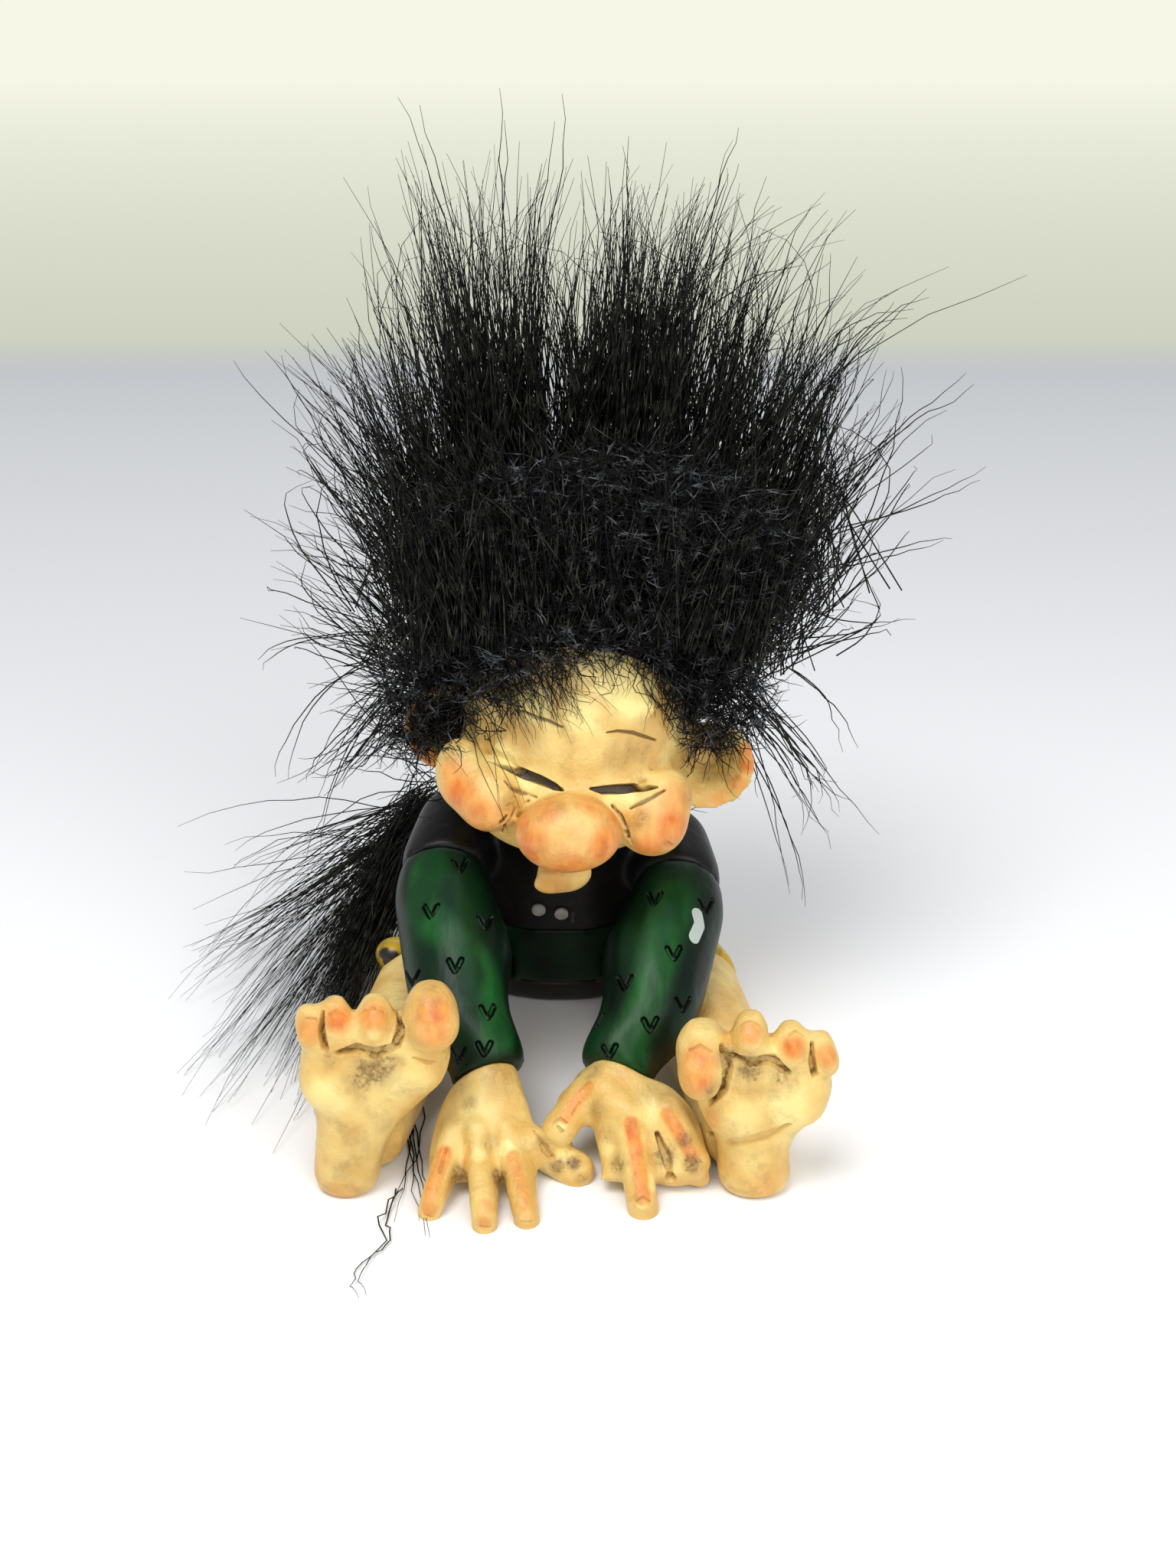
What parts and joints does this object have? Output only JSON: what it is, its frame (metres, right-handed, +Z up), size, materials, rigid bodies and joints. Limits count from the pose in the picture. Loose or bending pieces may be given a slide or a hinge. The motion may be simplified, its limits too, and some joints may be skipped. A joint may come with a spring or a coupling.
{
  "type": "sitting troll figurine",
  "caption": "Painted sitting troll figurine with a bowed head, hands flat between its splayed feet, a shock of coarse fur hair and a tufted tail.",
  "frame": {"origin": "on the ground under the middle of the trunk", "axes": "+Z up, -Y the way the figure faces, +X towards the figure's left side"},
  "size_m": [0.0775, 0.0588, 0.0858],
  "materials": {
    "skin_paint": "satin cream paint with an orange blush and a brown wash in the creases",
    "vest_paint": "satin black paint",
    "shirt_paint": "satin green paint over dark incised marks",
    "trouser_paint": "satin yellow paint with a brown wash",
    "button_paint": "satin light grey paint",
    "bare_casting": "bare cast resin",
    "black_fur": "coarse black fur"
  },
  "bodies": {
    "root": {"neck_peg": "bare_casting", "body_peg": "bare_casting", "right_arm_peg": "bare_casting", "left_arm_peg": "bare_casting", "right_wrist_peg": "bare_casting", "left_wrist_peg": "bare_casting", "right_leg_peg": "bare_casting", "left_leg_peg": "bare_casting", "tail_stem": "skin_paint", "right_button": "button_paint", "left_button": "button_paint", "vest": "vest_paint", "trousers": "trouser_paint", "shirt": "shirt_paint", "right_sleeve": "shirt_paint", "left_sleeve": "shirt_paint", "right_leg": "skin_paint", "left_leg": "skin_paint", "right_hand": "skin_paint", "left_hand": "skin_paint", "head": "skin_paint", "hair_pelt": "black_fur", "hair": "black_fur", "tail_fur": "black_fur"}
  },
  "joints": []
}
